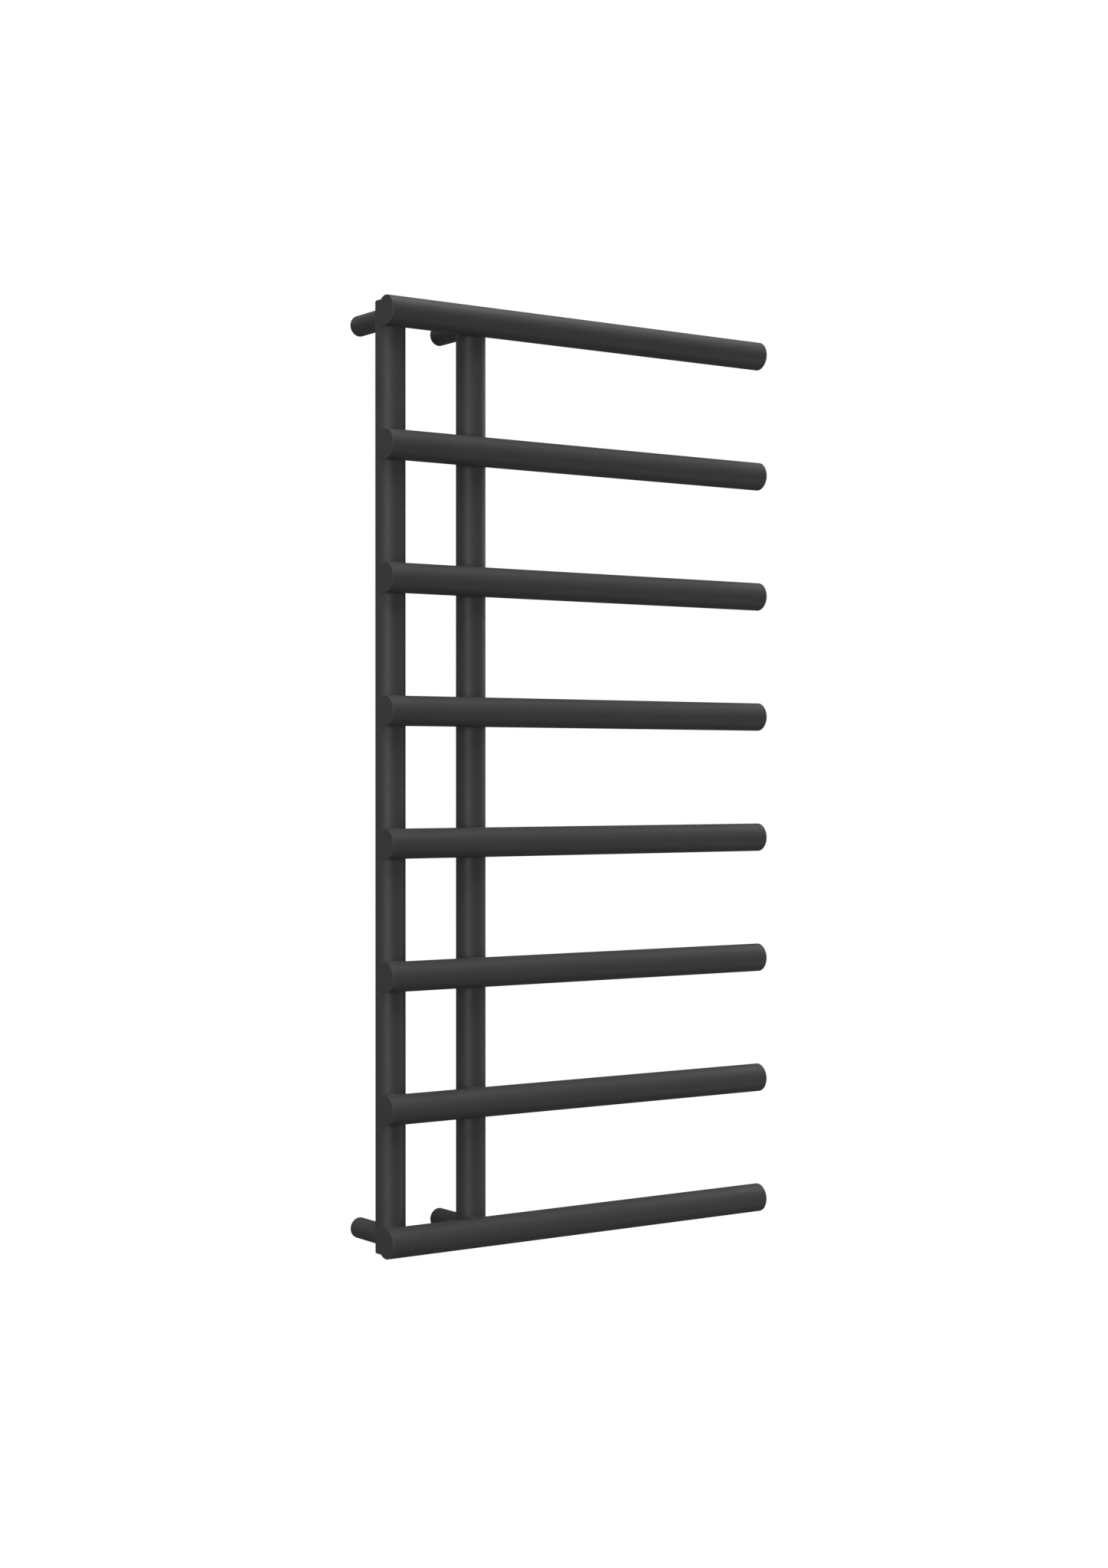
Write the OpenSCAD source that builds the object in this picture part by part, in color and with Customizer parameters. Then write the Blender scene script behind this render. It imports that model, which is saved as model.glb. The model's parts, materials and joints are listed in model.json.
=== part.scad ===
// Open-ended towel warmer rack: two uprights at one end carry a ladder of
// cantilevered bars, and four telescopic stand-offs hold it off the wall.
// Millimetres. The wall is the plane y = 0 and the rack stands towards -Y.
// x = 0 is midway between the uprights, z = 0 is the rack's mid-height.

/* [Bars] */
// Number of horizontal towel bars
bar_count = 8; // [2:1:9]
// Distance from one bar's axis to the next
bar_pitch = 166; // [110:1:200]
// Length of a bar over its end caps
bar_length = 600; // [400:10:900]
// Outer diameter of the bars and the uprights
tube_d = 38; // [34:1:42]
// Wall of the bar tube
bar_wall = 1.5; // [1.2:0.1:2]
// How far a bar's left end stands past the left upright
bar_overhang = 1; // [0.5:0.5:20]

/* [Uprights] */
// Distance between the two uprights' axes
upright_spacing = 120; // [90:5:200]
// Wall of the upright tube
upright_wall = 2; // [1.5:0.1:2.5]
// How far the uprights' axes stand off the wall
wall_distance = 77; // [72:1:100]
// How far the bars' axes stand in front of the uprights' axes
bar_offset = 21; // [20:0.5:36]
// How far an upright's end lies inside the outer line of the end bars
upright_inset = 3.5; // [0:0.5:10]

/* [Stand-offs] */
// Outer diameter of the cover sleeve
sleeve_d = 26.5; // [26:0.5:30]
// How far the end stand-offs lie inside the end bars' axes
standoff_inset = 4; // [0:1:30]
// Diameter of the hole for the wall screw
wall_screw_hole_d = 5.5; // [4:0.5:6.5]

/* [Ends] */
// Chamfer on the rims of the caps and bushes
rim_chamfer = 0.5; // [0.3:0.1:1.5]

/* [Hidden] */

$fn = 96;
eps = 1;                       // how far a cutter runs past what it cuts
braze_gap = 0.1;               // radial gap of a spigot in its tube

tube_r = tube_d / 2;
bar_bore_r = tube_r - bar_wall;
upright_bore_r = tube_r - upright_wall;
left_x = -upright_spacing / 2;
right_x = upright_spacing / 2;
upright_y = -wall_distance;
bar_y = upright_y - bar_offset;
bar_left = left_x - tube_r - bar_overhang;
bar_right = bar_left + bar_length;
top_bar_z = (bar_count - 1) / 2 * bar_pitch;
upright_top_z = top_bar_z + tube_r - upright_inset;
standoff_z = top_bar_z - standoff_inset;

cap_plate = 3;                 // thickness of an end cap outside its tube
cap_spigot = 4;                // how far an end cap reaches into its tube
port_r = 7;                    // water port from an upright into a bar

flow_tube_r = 6;               // outer radius of the tube inside a bar
flow_tube_wall = 1;
flow_tube_start = -6;          // x of the flow tube's inlet end
flow_tube_stop = 40;           // gap from its outlet end to the bar's end
baffle_thick = 2;              // also the support disc's thickness
support_inset = 52;            // from the bar's end to the support disc
support_hole_r = 4.2;

pipe_thread_r = 9.316;         // minor radius of a G 1/2 female thread
bush_length = 18;
mouth_chamfer = 1.2;
seat_r = 13.5;                 // recess that a top plug's flange sits in
seat_depth = 6.2;

plug_flange_r = 13.2;
plug_flange = 4.5;
plug_shank_r = 9.2;
plug_shank = 12;
seal_thick = 1.5;
seal_inner_r = 9.4;
seal_outer_r = 13;
plug_base_z = upright_top_z - seat_depth + seal_thick;
plug_top_z = plug_base_z + plug_flange;
hex_key = 12;                  // across flats of the blanking plug's socket
hex_depth = 6;

vent_recess_r = 6;
vent_recess = 4;
vent_bore_r = 3.05;
vent_screw_r = 3;
vent_hole_r = 1.2;
vent_tip_r = 0.9;
vent_head_r = 4.6;
vent_head = 3;
vent_head_lift = 0.2;          // gap under the screw's head
vent_slot = 1.2;
vent_slot_depth = 1.4;
vent_seat_z = plug_base_z - plug_shank + 3.2;   // where the bore's cone starts
vent_seat_gap = 0.15;
vent_groove = 0.8;             // side of the groove that lets air out

pin_r = 7;
pin_bore_r = 7.05;
pin_wall_gap = 12;             // from the pin's end to the wall
socket_r = 9.4;
socket_length = 44;
socket_base = 4;
sleeve_r = sleeve_d / 2;
sleeve_bore_r = 9.75;
grub_r = 2;
grub_gap = 0.05;
grub_y = -20;
grub_inner_r = 9.7;
grub_sink = 0.15;              // how far the grub screw lies under the surface
grub_key = 2;
grub_key_depth = 1.4;

coat = [0.16, 0.17, 0.18];
steel = [0.62, 0.62, 0.63];
zinc = [0.72, 0.74, 0.76];
brass = [0.78, 0.62, 0.32];
seal_black = [0.06, 0.06, 0.06];

function per_bar(stem) = [for (i = [1 : bar_count]) str(stem, i)];
function per_standoff(stem) = [for (i = [1 : 4]) str(stem, i)];

// Bars are numbered from the bottom up
function bar_z(i) = (i - 1) * bar_pitch - top_bar_z;

// Stand-offs 1 and 2 are the lower pair, 3 and 4 the upper, left before right
function standoff_x(i) = i % 2 == 1 ? left_x : right_x;
function standoff_place(i) = [standoff_x(i), 0, i <= 2 ? -standoff_z : standoff_z];

// Chamfer between a flat face at z = 0 and a cylinder of radius r
function rim(r) = [[r - rim_chamfer, 0], [r, rim_chamfer]];

// ---- shared shapes

// A round plug with a chamfered rim: its outer face is z = 0 and its spigot points up
module end_plug(plate, spigot_r, spigot) {
    rotate_extrude()
        polygon(concat(
            [[0, 0]],
            rim(tube_r),
            [[tube_r, plate], [spigot_r, plate]],
            [[spigot_r, plate + spigot], [0, plate + spigot]]
        ));
}

// The outside of both uprights beside bar i, which its parts are cut to fit
module upright_saddles(z) {
    for (x = [left_x, right_x])
        translate([x, upright_y, z - bar_pitch / 2])
            cylinder(r = tube_r, h = bar_pitch);
}

// Puts its children on bar i's axis, with their +Z along the bar's +X
module on_bar(i, x) {
    translate([x, bar_y, bar_z(i)])
        rotate([0, 90, 0])
            children();
}

// Puts its children on stand-off i's axis at the wall, with their +Z away from it
module on_standoff(i) {
    translate(standoff_place(i))
        rotate([90, 0, 0])
            children();
}

// A rod or sleeve welded to the back of an upright is cut to the upright's outside
module saddled_to_upright(i) {
    difference() {
        on_standoff(i)
            children();
        translate([standoff_x(i), upright_y, standoff_place(i)[2] - 2 * sleeve_r])
            cylinder(r = tube_r, h = 4 * sleeve_r);
    }
}

// ---- bars

module bar(i) {
    color(coat)
        difference() {
            on_bar(i, bar_left + cap_plate)
                difference() {
                    cylinder(r = tube_r, h = bar_length - 2 * cap_plate);
                    translate([0, 0, -eps])
                        cylinder(r = bar_bore_r, h = bar_length);
                }
            upright_saddles(bar_z(i));
        }
}

module bar_cap_left(i) {
    color(coat)
        difference() {
            on_bar(i, bar_left)
                end_plug(cap_plate, bar_bore_r - braze_gap, cap_spigot);
            upright_saddles(bar_z(i));
        }
}

module bar_cap_right(i) {
    color(coat)
        on_bar(i, bar_right)
            mirror([0, 0, 1])
                end_plug(cap_plate, bar_bore_r - braze_gap, cap_spigot);
}

// The baffle shuts the bar between its two ports, so water from the left upright
// runs through this tube to the far end and comes back around it
module flow_tube(i) {
    support_x = bar_right - support_inset;
    tube_end = bar_right - flow_tube_stop;
    color(steel)
        difference() {
            union() {
                translate([0, -flow_tube_r, 0])
                    on_bar(i, flow_tube_start)
                        cylinder(r = flow_tube_r, h = tube_end - flow_tube_start);
                on_bar(i, -baffle_thick / 2)
                    cylinder(r = bar_bore_r - braze_gap, h = baffle_thick);
                on_bar(i, support_x)
                    support_disc();
            }
            translate([0, -flow_tube_r, 0])
                on_bar(i, flow_tube_start - eps)
                    cylinder(r = flow_tube_r - flow_tube_wall, h = bar_length);
        }
}

// Holds the flow tube's far end, with three holes for the returning water.
// Its +Y is the bar's +Y, on the far side from the flow tube
module support_disc() {
    difference() {
        cylinder(r = bar_bore_r - braze_gap, h = baffle_thick);
        for (a = [35, 90, 145])
            rotate([0, 0, a])
                translate([11, 0, -eps])
                    cylinder(r = support_hole_r, h = baffle_thick + 2 * eps);
    }
}

// ---- uprights

module upright(x) {
    half = upright_top_z - cap_plate;
    color(coat)
        difference() {
            translate([x, upright_y, -half])
                cylinder(r = tube_r, h = 2 * half);
            translate([x, upright_y, -half - eps])
                cylinder(r = upright_bore_r, h = 2 * half + 2 * eps);
            for (i = [1 : bar_count])
                translate([x, upright_y, bar_z(i)])
                    rotate([90, 0, 0])
                        cylinder(r = port_r, h = tube_r + eps);
        }
}

module inlet_bush(x) {
    color(coat)
        translate([x, upright_y, -upright_top_z])
            difference() {
                end_plug(cap_plate, upright_bore_r - braze_gap, bush_length - cap_plate);
                translate([0, 0, -eps])
                    cylinder(r = pipe_thread_r, h = bush_length + 2 * eps);
                cylinder(r1 = pipe_thread_r + mouth_chamfer, r2 = pipe_thread_r,
                    h = mouth_chamfer);
            }
}

module top_bush(x) {
    color(coat)
        translate([x, upright_y, upright_top_z])
            mirror([0, 0, 1])
                difference() {
                    end_plug(cap_plate, upright_bore_r - braze_gap,
                        bush_length - cap_plate);
                    translate([0, 0, -eps])
                        cylinder(r = pipe_thread_r, h = bush_length + 2 * eps);
                    translate([0, 0, -eps])
                        cylinder(r = seat_r, h = seat_depth + eps);
                }
}

// ---- plugs in the uprights' tops

module plug_blank(x) {
    translate([x, upright_y, plug_base_z]) {
        cylinder(r = plug_flange_r, h = plug_flange);
        translate([0, 0, -plug_shank])
            cylinder(r = plug_shank_r, h = plug_shank);
    }
}

module plug_seal(x) {
    color(seal_black)
        translate([x, upright_y, plug_base_z - seal_thick])
            difference() {
                cylinder(r = seal_outer_r, h = seal_thick);
                translate([0, 0, -eps])
                    cylinder(r = seal_inner_r, h = seal_thick + 2 * eps);
            }
}

module blanking_plug() {
    color(coat)
        difference() {
            plug_blank(right_x);
            translate([right_x, upright_y, plug_top_z - hex_depth])
                cylinder(d = hex_key / cos(30), h = hex_depth + eps, $fn = 6);
        }
}

module air_vent_plug() {
    cone = vent_bore_r - vent_hole_r;
    color(coat)
        difference() {
            plug_blank(left_x);
            translate([left_x, upright_y, plug_top_z - vent_recess])
                cylinder(r = vent_recess_r, h = vent_recess + eps);
            translate([left_x, upright_y, vent_seat_z])
                cylinder(r = vent_bore_r, h = plug_top_z - vent_seat_z);
            translate([left_x, upright_y, vent_seat_z - cone])
                cylinder(r1 = vent_hole_r, r2 = vent_bore_r, h = cone);
            translate([left_x, upright_y, plug_base_z - plug_shank - eps])
                cylinder(r = vent_hole_r, h = plug_shank);
        }
}

// Its cone shuts the hole in the plug; a groove along it lets the air out
module air_vent_screw() {
    head_z = plug_top_z - vent_recess + vent_head_lift;
    tip_z = vent_seat_z + vent_seat_gap;
    tip = vent_screw_r - vent_tip_r;
    color(brass)
        translate([left_x, upright_y, 0])
            difference() {
                union() {
                    translate([0, 0, tip_z - tip])
                        cylinder(r1 = vent_tip_r, r2 = vent_screw_r, h = tip);
                    translate([0, 0, tip_z])
                        cylinder(r = vent_screw_r, h = head_z - tip_z);
                    translate([0, 0, head_z])
                        cylinder(r = vent_head_r, h = vent_head);
                }
                translate([-vent_head_r - eps, -vent_slot / 2,
                    head_z + vent_head - vent_slot_depth])
                    cube([2 * (vent_head_r + eps), vent_slot, vent_slot_depth + eps]);
                translate([vent_screw_r - vent_groove / 2, -vent_groove / 2,
                    tip_z + eps])
                    cube([vent_groove, vent_groove, head_z - tip_z - 2 * eps]);
            }
}

// ---- stand-offs

// Screwed to the wall; the mounting pin slides in it
module wall_socket(i) {
    color(zinc)
        on_standoff(i)
            difference() {
                cylinder(r = socket_r, h = socket_length);
                translate([0, 0, socket_base])
                    cylinder(r = pin_bore_r, h = socket_length);
                translate([0, 0, -eps])
                    cylinder(d = wall_screw_hole_d, h = socket_base + 2 * eps);
            }
}

module mounting_pin(i) {
    color(steel)
        saddled_to_upright(i)
            translate([0, 0, pin_wall_gap])
                cylinder(r = pin_r, h = wall_distance - pin_wall_gap);
}

module cover_sleeve(i) {
    color(coat)
        difference() {
            saddled_to_upright(i)
                difference() {
                    cylinder(r = sleeve_r, h = wall_distance);
                    translate([0, 0, -eps])
                        cylinder(r = sleeve_bore_r, h = wall_distance + 2 * eps);
                }
            translate(standoff_place(i) + [0, grub_y, 0])
                mirror([0, 0, 1])
                    cylinder(r = grub_r + grub_gap, h = 2 * sleeve_r);
        }
}

// One in the underside of each sleeve, to clamp it on its wall socket
module grub_screws() {
    length = sleeve_r - grub_inner_r - grub_sink;
    color(steel)
        for (i = [1 : 4])
            translate(standoff_place(i) + [0, grub_y, -grub_inner_r])
                mirror([0, 0, 1])
                    difference() {
                        cylinder(r = grub_r, h = length);
                        translate([0, 0, length - grub_key_depth])
                            cylinder(d = grub_key / cos(30), h = grub_key_depth + eps,
                                $fn = 6);
                    }
}

// ---- what is drawn

for (i = [1 : bar_count]) {
    bar(i);
    bar_cap_left(i);
    bar_cap_right(i);
    flow_tube(i);
}
upright(left_x);  // upright_left
upright(right_x);  // upright_right
inlet_bush(left_x);  // inlet_bush_left
inlet_bush(right_x);  // inlet_bush_right
top_bush(left_x);  // top_bush_left
top_bush(right_x);  // top_bush_right
for (i = [1 : 4]) {
    wall_socket(i);
    mounting_pin(i);
    cover_sleeve(i);
}
grub_screws();
air_vent_plug();
plug_seal(left_x);  // air_vent_seal
air_vent_screw();
blanking_plug();
plug_seal(right_x);  // blanking_plug_seal
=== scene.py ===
"""Open-ended towel warmer rack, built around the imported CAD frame."""

import json
import math

import bmesh
import bpy
from mathutils import Matrix, Vector


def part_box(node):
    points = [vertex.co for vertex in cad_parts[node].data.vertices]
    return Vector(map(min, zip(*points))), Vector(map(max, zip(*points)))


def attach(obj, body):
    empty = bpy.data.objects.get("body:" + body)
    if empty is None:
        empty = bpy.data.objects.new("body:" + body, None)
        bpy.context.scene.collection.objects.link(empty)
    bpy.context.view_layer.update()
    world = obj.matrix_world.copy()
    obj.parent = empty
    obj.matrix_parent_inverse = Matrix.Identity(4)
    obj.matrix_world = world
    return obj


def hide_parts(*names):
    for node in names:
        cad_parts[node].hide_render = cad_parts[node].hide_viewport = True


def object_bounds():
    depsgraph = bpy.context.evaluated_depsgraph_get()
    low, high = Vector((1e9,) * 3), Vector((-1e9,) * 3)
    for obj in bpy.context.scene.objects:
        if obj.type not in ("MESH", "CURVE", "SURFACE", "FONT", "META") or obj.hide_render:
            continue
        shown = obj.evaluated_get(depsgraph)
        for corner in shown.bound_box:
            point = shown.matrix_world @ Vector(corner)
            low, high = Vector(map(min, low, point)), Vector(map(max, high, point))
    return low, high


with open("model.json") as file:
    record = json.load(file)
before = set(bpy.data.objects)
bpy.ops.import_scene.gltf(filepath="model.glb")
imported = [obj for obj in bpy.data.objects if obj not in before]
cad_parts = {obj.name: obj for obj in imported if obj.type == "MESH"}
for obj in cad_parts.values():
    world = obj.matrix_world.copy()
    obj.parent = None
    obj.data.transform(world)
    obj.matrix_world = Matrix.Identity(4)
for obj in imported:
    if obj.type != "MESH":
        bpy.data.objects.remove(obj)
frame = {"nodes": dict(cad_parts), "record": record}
cad_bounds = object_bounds()

MM = 0.001
AROUND = 144                    # vertices round a tube
ARC_STEPS = 8                   # faces across a rounded corner
SHARP = math.radians(30)        # edges sharper than this are shaded as edges
BARS = range(1, 9)
STANDOFFS = range(1, 5)
SIDES = ("left", "right")


# ---- sizes, read off the frame


def middle(node):
    """The middle of a CAD node's box."""
    low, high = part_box(node)
    return (low + high) / 2


def span(node):
    """The size of a CAD node's box."""
    low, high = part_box(node)
    return high - low


TUBE_R = span("bar_1").z / 2
BAR_BORE_R = TUBE_R - 1.5 * MM
UPRIGHT_BORE_R = TUBE_R - 2 * MM
CAP_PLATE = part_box("bar_1")[0].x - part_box("bar_cap_left_1")[0].x
CAP_SPIGOT = span("bar_cap_left_1").x - CAP_PLATE
UPRIGHT_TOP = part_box("top_bush_left")[1].z
UPRIGHT_AXES = {side: middle("upright_" + side) for side in SIDES}
SLEEVE_R = span("cover_sleeve_1").x / 2
SLEEVE_BORE_R = 9.75 * MM
SPIGOT_GAP = 0.1 * MM           # between a spigot and its tube
RIM_CHAMFER = 0.5 * MM          # round the faces of the caps and bushes
EDGE_SOFT = 0.12 * MM           # round that the coating leaves on a chamfer's edges
WEAR_AND_HIGHLIGHT_REACH = 0.8 * MM           # how far the lighter rim colour fades out: wear, and on the powder coat a painted highlight
BUSH_LENGTH = span("inlet_bush_left").z
SEAT_R = 13.5 * MM              # recess in an upright's top for a plug
SEAT_DEPTH = 6.2 * MM
THREAD_MINOR_R = 9.316 * MM     # G 1/2
THREAD_MAJOR_R = 10.477 * MM
THREAD_PITCH = 1.814 * MM
WELD_LEG = 0.9 * MM             # at its thickest
LEAST_LEG = 0.05 * MM           # a thinner bead is left out


# ---- mesh making


def corner(before, at, after, radius):
    """The points of a round of this radius where an outline turns at a corner."""
    before, at, after = (Vector((*p, 0)) for p in (before, at, after))
    a, b = (before - at).normalized(), (after - at).normalized()
    half = a.angle(b) / 2
    centre = at + (a + b).normalized() * radius / math.sin(half)
    start = at + a * radius / math.tan(half) - centre
    stop = at + b * radius / math.tan(half) - centre
    turn = start.angle(stop)
    points = []
    for k in range(ARC_STEPS + 1):
        t = k / ARC_STEPS
        swept = start * math.sin((1 - t) * turn) + stop * math.sin(t * turn)
        points.append(tuple((centre + swept / math.sin(turn)).xy))
    return points


def end_of_wear_and_highlight(at, towards):
    """A point without the lighter rim colour (wear, and on the powder coat a painted highlight) a little way
    from a marked corner, where there is room for one.
    """
    gap = Vector(towards[:2]) - Vector(at[:2])
    if gap.length < 2 * WEAR_AND_HIGHLIGHT_REACH:
        return []
    return [(*(Vector(at[:2]) + gap.normalized() * WEAR_AND_HIGHLIGHT_REACH), 0)]


def outline(*corners):
    """A closed outline of (radius, height[, round]) corners. Its rounds become arcs, marked for the lighter
    rim colour: wear, and on the powder coat a painted highlight.
    """
    points = []
    for k, at in enumerate(corners):
        if len(at) == 2:
            points.append(at)
            continue
        before, after = corners[k - 1], corners[(k + 1) % len(corners)]
        points += end_of_wear_and_highlight(at, before)
        points += [(*p, 1) for p in corner(before[:2], at[:2], after[:2], at[2])]
        points += end_of_wear_and_highlight(at, after)
    return points


def hexagon(across_flats):
    """Radius by angle of a hexagonal socket, for lathe()."""
    sixth = math.pi / 3
    return lambda a: across_flats / 2 / math.cos((a + sixth / 2) % sixth - sixth / 2)


def lathe(points, around=AROUND):
    """A closed surface turned about +Z from (radius, height[, wear]) points.

    The wear mark goes into the rim attribute, for the materials, which lighten the colour there: wear, and on
    the powder coat a painted highlight.
    """
    bm = bmesh.new()
    rim_layer = bm.verts.layers.float.new("rim")
    rings = []
    for radius, height, *wear in points:
        ring = []
        for k in range(around):
            a = 2 * math.pi * k / around
            r = radius(a) if callable(radius) else radius
            ring.append(bm.verts.new((r * math.cos(a), r * math.sin(a), height)))
            ring[-1][rim_layer] = wear[0] if wear else 0
            if r == 0:
                break
        rings.append(ring)
    for low, high in zip(rings, rings[1:] + rings[:1]):
        if len(low) == len(high) == 1:
            continue
        for k in range(around):
            n = (k + 1) % around
            quad = [low[k % len(low)], low[n % len(low)], high[n % len(high)], high[k % len(high)]]
            bm.faces.new(list(dict.fromkeys(quad)))
    bmesh.ops.recalc_face_normals(bm, faces=bm.faces)
    return bm


def placed(bm, at, axis="z"):
    """Turns a lathe's +Z to an axis, moves it into place and hands it back."""
    turns = {
        "z": Matrix.Identity(4),
        "-z": Matrix.Rotation(math.pi, 4, "X"),
        "x": Matrix.Rotation(math.pi / 2, 4, "Y"),
        "-x": Matrix.Rotation(-math.pi / 2, 4, "Y"),
        "-y": Matrix.Rotation(math.pi / 2, 4, "X"),
    }
    bm.transform(Matrix.Translation(at) @ turns[axis])
    return bm


def piece(name, bm, body, material, *nodes):
    """Makes a visible piece from a bmesh: it rides on a body and may stand for CAD nodes."""
    mesh = bpy.data.meshes.new(name)
    bm.to_mesh(mesh)
    bm.free()
    obj = bpy.data.objects.new(name, mesh)
    bpy.context.scene.collection.objects.link(obj)
    finish_surface(obj)
    dress(obj, material)
    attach(obj, body)
    if nodes:
        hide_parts(*nodes)
    return obj


def finish_surface(obj):
    """Smooth shading that keeps flat faces flat and edges crisp."""
    obj.data.shade_smooth()
    obj.data.set_sharp_from_angle(angle=SHARP)
    weighted = obj.modifiers.new("weighted_normals", "WEIGHTED_NORMAL")
    weighted.keep_sharp = True


def dress(obj, material):
    obj.data.materials.clear()
    obj.data.materials.append(MATERIALS[material])


def cut(bm, *cutters):
    """bm with the cutters taken away from it."""
    result = bpy.data.meshes.new("cut")
    bm.to_mesh(result)
    bm.free()
    body = bpy.data.objects.new("cut", result)
    bpy.context.scene.collection.objects.link(body)
    tools = []
    for cutter in cutters:
        mesh = bpy.data.meshes.new("cutter")
        cutter.to_mesh(mesh)
        cutter.free()
        tool = bpy.data.objects.new("cutter", mesh)
        bpy.context.scene.collection.objects.link(tool)
        difference = body.modifiers.new("difference", "BOOLEAN")
        difference.operation = "DIFFERENCE"
        difference.solver = "EXACT"
        difference.object = tool
        tools.append(tool)
    seen = body.evaluated_get(bpy.context.evaluated_depsgraph_get())
    out = bmesh.new()
    out.from_mesh(seen.to_mesh())
    seen.to_mesh_clear()
    for scratch in (body, *tools):
        mesh = scratch.data
        bpy.data.objects.remove(scratch)
        bpy.data.meshes.remove(mesh)
    bmesh.ops.dissolve_degenerate(out, dist=1e-7, edges=out.edges)
    return out


def rim(radius):
    """The chamfered rim of a cap or bush whose outer face is at z = 0."""
    return [(radius - RIM_CHAMFER, 0, EDGE_SOFT), (radius, RIM_CHAMFER, EDGE_SOFT)]


def upright_cutters():
    """The outside of both uprights."""
    return [
        placed(
            lathe([(0, -UPRIGHT_TOP), (TUBE_R, -UPRIGHT_TOP), (TUBE_R, UPRIGHT_TOP), (0, UPRIGHT_TOP)]),
            Vector((axis.x, axis.y, 0)),
        )
        for axis in UPRIGHT_AXES.values()
    ]


# ---- materials


class Tree:
    """The node tree of a new material, with the few kinds of node the finishes are made of."""

    def __init__(self, material, stretch):
        self.nodes = material.node_tree.nodes
        self.links = material.node_tree.links
        self.shader = self.nodes["Principled BSDF"]
        place = self.nodes.new("ShaderNodeTexCoord")
        self.place = self.nodes.new("ShaderNodeMapping")
        self.place.inputs["Scale"].default_value = stretch
        self.links.new(place.outputs["Object"], self.place.inputs["Vector"])

    def noise(self, size, detail, roughness=0.5):
        """Noise with features of this size in metres."""
        node = self.nodes.new("ShaderNodeTexNoise")
        node.inputs["Scale"].default_value = 1 / size
        node.inputs["Detail"].default_value = detail
        node.inputs["Roughness"].default_value = roughness
        self.links.new(self.place.outputs["Vector"], node.inputs["Vector"])
        return node.outputs["Fac"]

    def spread(self, value, low, high):
        """The middle of a noise's range, brought to low...high."""
        node = self.nodes.new("ShaderNodeMapRange")
        node.inputs["From Min"].default_value = 0.3
        node.inputs["From Max"].default_value = 0.7
        node.inputs["To Min"].default_value = low
        node.inputs["To Max"].default_value = high
        self.links.new(value, node.inputs["Value"])
        return node.outputs["Result"]

    def mix(self, factor, a, b):
        """A colour between a and b, each of them a colour or another node's output."""
        node = self.nodes.new("ShaderNodeMix")
        node.data_type = "RGBA"
        self.links.new(factor, node.inputs["Factor"])
        for key, value in (("A", a), ("B", b)):
            socket = next(s for s in node.inputs if s.name == key and s.type == "RGBA")
            if isinstance(value, tuple):
                socket.default_value = (*value, 1)
            else:
                self.links.new(value, socket)
        return next(s for s in node.outputs if s.type == "RGBA")

    def rim_mask_wear_and_highlight(self):
        """The meshes' rim attribute, broken up into patches: the mask for the lighter rim colour, wear and on
        the powder coat a painted highlight.
        """
        attribute = self.nodes.new("ShaderNodeAttribute")
        attribute.attribute_name = "rim"
        patchy = self.nodes.new("ShaderNodeMath")
        patchy.operation = "MULTIPLY"
        self.links.new(attribute.outputs["Fac"], patchy.inputs[0])
        self.links.new(self.spread(self.noise(4 * MM, 3), 0.15, 0.9), patchy.inputs[1])
        return patchy.outputs["Value"]

    def bump(self, height, distance, under=None):
        """Relief of this distance in metres, laid over another relief if there is one."""
        node = self.nodes.new("ShaderNodeBump")
        node.inputs["Distance"].default_value = distance
        node.inputs["Strength"].default_value = 1.0
        self.links.new(height, node.inputs["Height"])
        if under:
            self.links.new(under, node.inputs["Normal"])
        return node.outputs["Normal"]


def surface(name, dark, light, rough, grain, metallic=0.0, rim_colour_wear_and_highlight=None, stretch=(1, 1, 1), fine=None):
    """A procedural finish: colour and roughness drift over the surface, grain gives it relief, rims get a
    lighter colour: wear, and on the powder coat a painted highlight.

    rough is (lowest, highest); grain and fine are (size, height) in metres; the rim colour is the colour at
    the rims: wear, and on the powder coat also a painted highlight.
    """
    material = bpy.data.materials.new(name)
    material.use_nodes = True
    tree = Tree(material, stretch)
    tree.shader.inputs["Metallic"].default_value = metallic
    colour = tree.mix(tree.spread(tree.noise(60 * MM, 3), 0, 1), dark, light)
    # lighter rims: wear, and on the powder coat a painted highlight along the rims
    if rim_colour_wear_and_highlight:
        colour = tree.mix(tree.rim_mask_wear_and_highlight(), colour, rim_colour_wear_and_highlight)
    roughness = tree.spread(tree.noise(25 * MM, 4, 0.6), *rough)
    under = tree.bump(tree.noise(fine[0], 1), fine[1]) if fine else None
    relief = tree.bump(tree.noise(grain[0], 2), grain[1], under)
    tree.links.new(colour, tree.shader.inputs["Base Color"])
    tree.links.new(roughness, tree.shader.inputs["Roughness"])
    tree.links.new(relief, tree.shader.inputs["Normal"])
    return material


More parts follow.
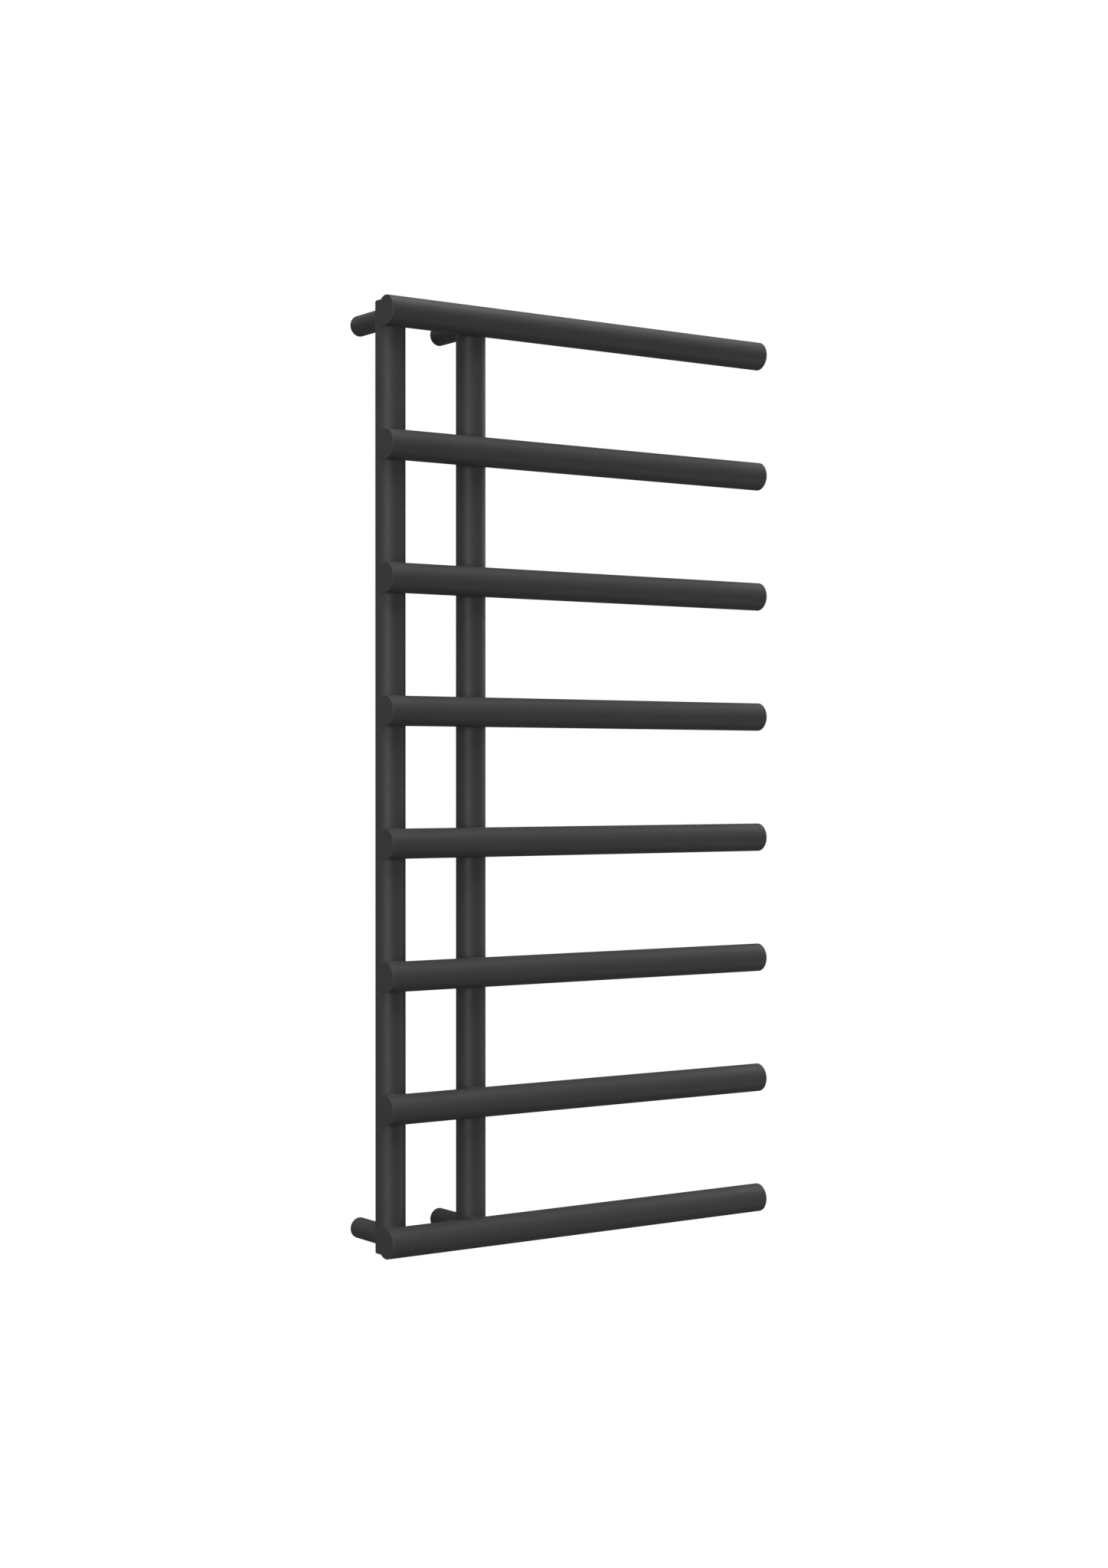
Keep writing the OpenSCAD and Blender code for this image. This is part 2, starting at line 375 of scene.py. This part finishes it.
def make_materials():
    # the coat's lighter rim colour is partly thin-coat wear, partly a painted highlight along the cap and
    # bush rims
    coat = surface(
        "powder_coat", (0.043, 0.043, 0.043), (0.047, 0.047, 0.047), (0.53, 0.59),
        grain=(1.6 * MM, 0.012 * MM), fine=(0.35 * MM, 0.003 * MM), rim_colour_wear_and_highlight=(0.055, 0.055, 0.055),
    )
    return {
        "powder_coat": coat,
        "bare_steel": surface(
            "bare_steel", (0.36, 0.36, 0.37), (0.52, 0.52, 0.53), (0.25, 0.42),
            grain=(0.8 * MM, 0.006 * MM), metallic=1.0, stretch=(1, 0.06, 1), rim_colour_wear_and_highlight=(0.6, 0.6, 0.61),
        ),
        "black_steel": surface(
            "black_steel", (0.035, 0.035, 0.04), (0.07, 0.07, 0.075), (0.35, 0.5),
            grain=(0.5 * MM, 0.004 * MM), metallic=1.0, rim_colour_wear_and_highlight=(0.2, 0.2, 0.2),
        ),
        "zinc_plate": surface(
            "zinc_plate", (0.52, 0.55, 0.60), (0.66, 0.68, 0.70), (0.2, 0.36),
            grain=(1.2 * MM, 0.006 * MM), metallic=1.0, rim_colour_wear_and_highlight=(0.72, 0.74, 0.76),
        ),
        "brass": surface(
            "brass", (0.60, 0.42, 0.17), (0.74, 0.55, 0.26), (0.24, 0.38),
            grain=(0.4 * MM, 0.004 * MM), metallic=1.0, rim_colour_wear_and_highlight=(0.82, 0.66, 0.38),
        ),
        "seal_rubber": surface(
            "seal_rubber", (0.012, 0.012, 0.012), (0.02, 0.02, 0.02), (0.6, 0.8),
            grain=(0.6 * MM, 0.01 * MM), rim_colour_wear_and_highlight=(0.03, 0.03, 0.03),
        ),
    }


# ---- bars


def bar_tube(i):
    """A bar between its caps, coped to sit on the uprights."""
    low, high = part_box(f"bar_{i}")
    length = high.x - low.x
    stations = {0, length}
    for axis in UPRIGHT_AXES.values():
        stations |= {axis.x - low.x - 1.05 * TUBE_R, axis.x - low.x + 1.05 * TUBE_R}
    stations = sorted(s for s in stations if 0 <= s <= length)
    skin = [(TUBE_R, s) for s in stations]
    bore = [(BAR_BORE_R, s) for s in reversed(stations)]
    tube = placed(lathe(skin + bore), Vector((low.x, middle(f"bar_{i}").y, middle(f"bar_{i}").z)), "x")
    return cut(tube, *upright_cutters())


def end_cap():
    """A cap with its outer face at z = 0 and its spigot along +Z."""
    spigot_r = BAR_BORE_R - SPIGOT_GAP
    return lathe(outline(
        (0, 0), (0.5 * TUBE_R, 0), *rim(TUBE_R), (TUBE_R, CAP_PLATE),
        (spigot_r, CAP_PLATE), (spigot_r, CAP_PLATE + CAP_SPIGOT), (0, CAP_PLATE + CAP_SPIGOT),
    ))


def build_bar(i):
    axis = middle(f"bar_{i}")
    ends = {
        "left": Vector((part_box(f"bar_cap_left_{i}")[0].x, axis.y, axis.z)),
        "right": Vector((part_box(f"bar_cap_right_{i}")[1].x, axis.y, axis.z)),
    }
    piece(f"towel_bar_{i}", bar_tube(i), "rack", "powder_coat", f"bar_{i}")
    left = cut(placed(end_cap(), ends["left"], "x"), upright_cutters()[0])
    piece(f"left_cap_{i}", left, "rack", "powder_coat", f"bar_cap_left_{i}")
    right = placed(end_cap(), ends["right"], "-x")
    piece(f"right_cap_{i}", right, "rack", "powder_coat", f"bar_cap_right_{i}")


# ---- uprights


def build_upright(side):
    node = "upright_" + side
    low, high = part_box(node)
    centre = middle(node)
    length = high.z - low.z
    tube = lathe([(TUBE_R, 0), (TUBE_R, length), (UPRIGHT_BORE_R, length), (UPRIGHT_BORE_R, 0)])
    placed(tube, Vector((centre.x, centre.y, low.z)))
    piece(f"{side}_upright", tube, "rack", "powder_coat", node)
    foot = placed(inlet_bush(), Vector((centre.x, centre.y, -UPRIGHT_TOP)))
    piece(f"{side}_inlet_bush", foot, "rack", "powder_coat", "inlet_bush_" + side)
    head = placed(top_bush(), Vector((centre.x, centre.y, UPRIGHT_TOP)), "-z")
    piece(f"{side}_top_bush", head, "rack", "powder_coat", "top_bush_" + side)


def thread_radius(height):
    """Radius by angle of a G 1/2 female thread at a height, for lathe()."""
    def radius(a):
        phase = (height / THREAD_PITCH - a / (2 * math.pi)) % 1
        flank = min(1, max(0, 2.6 * abs(phase - 0.5) - 0.15))
        return THREAD_MINOR_R + (THREAD_MAJOR_R - THREAD_MINOR_R) * (1 - flank)
    return radius


def inlet_bush():
    spigot_r = UPRIGHT_BORE_R - SPIGOT_GAP
    chamfer = 1.2 * MM
    samples = 8 * round((BUSH_LENGTH - chamfer) / THREAD_PITCH)
    outside = outline(
        (THREAD_MAJOR_R, 0), *rim(TUBE_R), (TUBE_R, CAP_PLATE),
        (spigot_r, CAP_PLATE), (spigot_r, BUSH_LENGTH),
    )
    step = (BUSH_LENGTH - chamfer) / samples
    heights = [BUSH_LENGTH - k * step for k in range(samples + 1)]
    return lathe(outside + [(thread_radius(h), h) for h in heights])


def top_bush():
    """The bush in an upright's top, with its outer face at z = 0."""
    spigot_r = UPRIGHT_BORE_R - SPIGOT_GAP
    return lathe(outline(
        (SEAT_R, 0, 0.4 * MM), *rim(TUBE_R), (TUBE_R, CAP_PLATE),
        (spigot_r, CAP_PLATE), (spigot_r, BUSH_LENGTH), (THREAD_MINOR_R, BUSH_LENGTH),
        (THREAD_MINOR_R, SEAT_DEPTH), (SEAT_R, SEAT_DEPTH),
    ))


# ---- plugs in the uprights' tops

FLANGE_R = span("blanking_plug").x / 2
FLANGE = 4.5 * MM
SHANK_R = 9.2 * MM
SHANK = span("blanking_plug").z - FLANGE
HEX_KEY = 12 * MM
HEX_DEPTH = 6 * MM
VENT_RECESS_R = 6 * MM
VENT_RECESS = 4 * MM
VENT_BORE_R = 3.05 * MM
VENT_HOLE_R = 1.2 * MM


def plug_outside():
    """The outline shared by both plugs: the flange's underside is at z = 0."""
    return [(SHANK_R, -SHANK), (SHANK_R, 0), (FLANGE_R, 0), (FLANGE_R, FLANGE, 0.6 * MM)]


def build_blanking_plug():
    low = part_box("blanking_plug")[0]
    centre = middle("blanking_plug")
    socket_floor = FLANGE - HEX_DEPTH
    solid = outline((0, -SHANK), *plug_outside(), (8.2 * MM, FLANGE))
    socket = [
        (hexagon(HEX_KEY + 0.8 * MM), FLANGE, 1),
        (hexagon(HEX_KEY), FLANGE - 0.5 * MM, 1),
        (hexagon(HEX_KEY), socket_floor),
        (0, socket_floor - 1.2 * MM),
    ]
    bm = placed(lathe(solid + socket), Vector((centre.x, centre.y, low.z + SHANK)))
    piece("top_blanking_plug", bm, "rack", "powder_coat", "blanking_plug")


def build_vent_plug():
    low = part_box("air_vent_plug")[0]
    centre = middle("air_vent_plug")
    seat = -SHANK + 3.2 * MM
    floor = FLANGE - VENT_RECESS
    cone = VENT_BORE_R - VENT_HOLE_R
    bm = lathe(outline(
        (VENT_HOLE_R, -SHANK), *plug_outside(), (VENT_RECESS_R, FLANGE, 0.4 * MM),
        (VENT_RECESS_R, floor), (VENT_BORE_R, floor), (VENT_BORE_R, seat), (VENT_HOLE_R, seat - cone),
    ))
    placed(bm, Vector((centre.x, centre.y, low.z + SHANK)))
    piece("top_air_vent_plug", bm, "rack", "powder_coat", "air_vent_plug")


def build_vent_screw():
    low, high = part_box("air_vent_screw")
    centre = middle("air_vent_screw")
    length = high.z - low.z
    head, head_r, shank_r, tip_r, tip = 3 * MM, 4.6 * MM, 3 * MM, 0.9 * MM, 2.1 * MM
    slot, slot_depth = 1.2 * MM, 1.4 * MM
    turned = lathe(outline(
        (0, 0), (tip_r, 0), (shank_r, tip), (shank_r, length - head), (head_r, length - head),
        (head_r, length, 0.5 * MM), (0, length),
    ), around=96)
    blade = bmesh.new()
    bmesh.ops.create_cube(blade, size=1)
    blade.transform(
        Matrix.Translation((0, 0, length)) @ Matrix.Diagonal((3 * head_r, slot, 2 * slot_depth, 1))
    )
    screw = placed(cut(turned, blade), Vector((centre.x, centre.y, low.z)))
    piece("vent_bleed_screw", screw, "vent_screw", "brass", "air_vent_screw")


# ---- stand-offs


def build_sleeve(i):
    """A cover sleeve from the wall to the back of its upright, with the hole for its grub screw."""
    centre = middle(f"cover_sleeve_{i}")
    upright = UPRIGHT_AXES["left" if i % 2 else "right"]
    reach = -upright.y
    grub_y = 20 * MM
    stations = (grub_y - 4 * MM, grub_y + 4 * MM, reach - 1.06 * TUBE_R - 2 * MM, reach)
    skin = outline((SLEEVE_BORE_R, 0), (SLEEVE_R, 0, 0.5 * MM), *((SLEEVE_R, s) for s in stations))
    bore = [(SLEEVE_BORE_R, s) for s in reversed(stations)]
    sleeve = placed(lathe(skin + bore, around=120), Vector((centre.x, 0, centre.z)), "-y")
    hole_r = 2.05 * MM
    drill = placed(
        lathe([(0, 0), (hole_r, 0), (hole_r, 2 * SLEEVE_R), (0, 2 * SLEEVE_R)], around=48),
        Vector((centre.x, -grub_y, centre.z)), "-z",
    )
    side = 0 if i % 2 else 1
    piece(
        f"standoff_sleeve_{i}", cut(sleeve, upright_cutters()[side], drill),
        "rack", "powder_coat", f"cover_sleeve_{i}",
    )


# ---- weld fillets


def into_surface(normal, along, other):
    """The direction in one surface, square to the seam, that leads away under the other surface's normal."""
    across = normal.cross(along).normalized()
    return across if across.dot(other) >= 0 else -across


def bead_ring(at, out_a, out_b, along, leg):
    """The bead's outline where the seam passes a point, from its root round its slightly hollow face."""
    toe_a = at + into_surface(out_a, along, out_b) * leg
    toe_b = at + into_surface(out_b, along, out_a) * leg
    root = at - (out_a + out_b).normalized() * leg * 0.4
    ring = [root, toe_a - out_a * leg * 0.12]
    for s in range(1, 6):
        t = s / 6
        middle_of_curve = at * 0.75 + (toe_a + toe_b) * 0.125
        ring.append(toe_a * (1 - t) ** 2 + middle_of_curve * 2 * t * (1 - t) + toe_b * t ** 2)
    ring.append(toe_b - out_b * leg * 0.12)
    return ring


def fillet(seam):
    """A bead along a closed seam of (point, normal of one surface, normal of the other, leg).

    It is left out where its leg is next to nothing.
    """
    bm = bmesh.new()
    rings = []
    for k, (at, out_a, out_b, leg) in enumerate(seam):
        if leg < LEAST_LEG:
            rings.append(None)
            continue
        along = (seam[(k + 1) % len(seam)][0] - seam[k - 1][0]).normalized()
        rings.append([bm.verts.new(p) for p in bead_ring(at, out_a, out_b, along, leg)])
    for ring, after in zip(rings, rings[1:] + rings[:1]):
        if ring and after:
            for s in range(len(ring)):
                n = (s + 1) % len(ring)
                bm.faces.new((ring[s], ring[n], after[n], after[s]))
        elif ring or after:
            bm.faces.new(ring or after)
    bmesh.ops.recalc_face_normals(bm, faces=bm.faces)
    return bm


def bar_seam(i, side, steps=160):
    """Where bar i's surface meets an upright's. The bead thins out towards the upright's flanks and ends."""
    bar, upright = middle(f"bar_{i}"), UPRIGHT_AXES[side]
    offset = upright.y - bar.y
    limit = math.acos((offset - TUBE_R) / TUBE_R)
    seam = []
    for k in range(steps):
        a = 2 * math.pi * k / steps
        turn = limit * math.sin(a)
        y = upright.y - TUBE_R * math.cos(turn)
        rise = math.sqrt(max(0, TUBE_R ** 2 - (y - bar.y) ** 2))
        z = bar.z + math.copysign(rise, math.cos(a))
        leg = WELD_LEG * (0.3 + 0.7 * math.cos(turn))
        room = UPRIGHT_TOP - RIM_CHAMFER - abs(z)
        seam.append((
            Vector((upright.x + TUBE_R * math.sin(turn), y, z)),
            Vector((math.sin(turn), -math.cos(turn), 0)),
            Vector((0, y - bar.y, z - bar.z)).normalized(),
            min(leg, room),
        ))
    return seam


def sleeve_seam(i, steps=96):
    """Where a stand-off sleeve meets the back of its upright."""
    centre = middle(f"cover_sleeve_{i}")
    upright = UPRIGHT_AXES["left" if i % 2 else "right"]
    seam = []
    for k in range(steps):
        a = 2 * math.pi * k / steps
        x, z = SLEEVE_R * math.sin(a), SLEEVE_R * math.cos(a)
        y = math.sqrt(TUBE_R ** 2 - x ** 2)
        seam.append((
            Vector((upright.x + x, upright.y + y, centre.z + z)),
            Vector((x, y, 0)).normalized(),
            Vector((x, 0, z)).normalized(),
            WELD_LEG,
        ))
    return seam


def build_welds():
    for i in BARS:
        for side in SIDES:
            piece(f"weld_{side}_{i}", fillet(bar_seam(i, side)), "rack", "powder_coat")
    for i in STANDOFFS:
        piece(f"weld_standoff_{i}", fillet(sleeve_seam(i)), "rack", "powder_coat")


# ---- CAD nodes that keep their own shape


def dress_cad_nodes():
    slots = {part["node"]: part["material_slot"] for part in frame["record"]["subparts"]}
    for node, obj in frame["nodes"].items():
        dress(obj, slots[node])


# ---- studio


def look_along(yaw, pitch):
    """Rotation of a camera or lamp that faces yaw degrees from +Y towards +X, pitch degrees up."""
    yaw, pitch = math.radians(yaw), math.radians(pitch)
    ahead = Vector((math.sin(yaw) * math.cos(pitch), math.cos(yaw) * math.cos(pitch), math.sin(pitch)))
    return ahead, ahead.to_track_quat("-Z", "Y").to_euler()


def make_camera():
    data = bpy.data.cameras.new("camera")
    data.sensor_width = 36
    data.lens = 56.55
    camera = bpy.data.objects.new("camera", data)
    camera.location = (-1.6628, -2.7280, 0.0018)
    camera.rotation_euler = look_along(34.955, -0.19)[1]
    bpy.context.scene.collection.objects.link(camera)
    bpy.context.scene.camera = camera


def make_lamp(name, azimuth, elevation, distance, width, height, watts):
    """A softbox turned to the rack. Azimuth 0 is in front of the rack and 90 on its left."""
    data = bpy.data.lights.new(name, "AREA")
    data.shape = "RECTANGLE"
    data.size, data.size_y = width, height
    data.energy = watts
    lamp = bpy.data.objects.new(name, data)
    ahead, turn = look_along(azimuth, -elevation)
    lamp.location = CENTRE - ahead * distance
    lamp.rotation_euler = turn
    lamp.visible_camera = False
    bpy.context.scene.collection.objects.link(lamp)


def white_to_camera(tree, output, glow):
    """A shader that is white where the camera sees it and lights the object with this strength."""
    nodes, links = tree.nodes, tree.links
    emit = "ShaderNodeBackground" if output == "World Output" else "ShaderNodeEmission"
    white = nodes.new(emit)
    white.inputs["Color"].default_value = (1, 1, 1, 1)
    path = nodes.new("ShaderNodeLightPath")
    strength = nodes.new("ShaderNodeMapRange")
    strength.inputs["To Min"].default_value = glow
    strength.inputs["To Max"].default_value = 1.01
    links.new(path.outputs["Is Camera Ray"], strength.inputs["Value"])
    links.new(strength.outputs["Result"], white.inputs["Strength"])
    links.new(white.outputs[0], nodes[output].inputs["Surface"])


def make_floor():
    bm = bmesh.new()
    bmesh.ops.create_circle(bm, cap_ends=True, segments=96, radius=30)
    mesh = bpy.data.meshes.new("floor")
    bm.to_mesh(mesh)
    bm.free()
    floor = bpy.data.objects.new("floor", mesh)
    floor.location = (0, 0, cad_bounds[0].z - FLOOR_DROP)
    bpy.context.scene.collection.objects.link(floor)
    material = bpy.data.materials.new("floor")
    material.use_nodes = True
    white_to_camera(material.node_tree, "Material Output", FLOOR_GLOW)
    floor.data.materials.append(material)


def make_world():
    world = bpy.data.worlds.new("studio")
    bpy.context.scene.world = world
    world.use_nodes = True
    white_to_camera(world.node_tree, "World Output", WORLD_GLOW)
    settings = bpy.context.scene.view_settings
    settings.view_transform = "Standard"
    settings.look = "None"


CENTRE = (cad_bounds[0] + cad_bounds[1]) / 2
FLOOR_DROP = 3.0                # the rack hangs this high over the floor
FLOOR_GLOW = 0.15
WORLD_GLOW = 0.18
LAMPS = [
    # name, azimuth, elevation, distance, width, height, watts
    ("key", 54, 0, 5, 0.9, 3.4, 80),
    ("overhead", 20, 68, 9, 5.0, 5.0, 240),
    ("overhead_left", 45, 68, 9.1, 5.0, 5.0, 320),
    ("top", 0, 89.99, 5, 6.0, 0.6, 84),
    ("under", -60, -35, 5, 2.5, 2.5, 23),
    ("high_fill", -95, 20, 5, 1.8, 3.6, 61),
    ("low_fill", -65, -5, 5, 1.8, 3.6, 16),
]

MATERIALS = make_materials()
make_camera()
make_world()
make_floor()
for lamp in LAMPS:
    make_lamp(*lamp)
dress_cad_nodes()
for i in BARS:
    build_bar(i)
for side in SIDES:
    build_upright(side)
build_blanking_plug()
build_vent_plug()
build_vent_screw()
for i in STANDOFFS:
    build_sleeve(i)
build_welds()
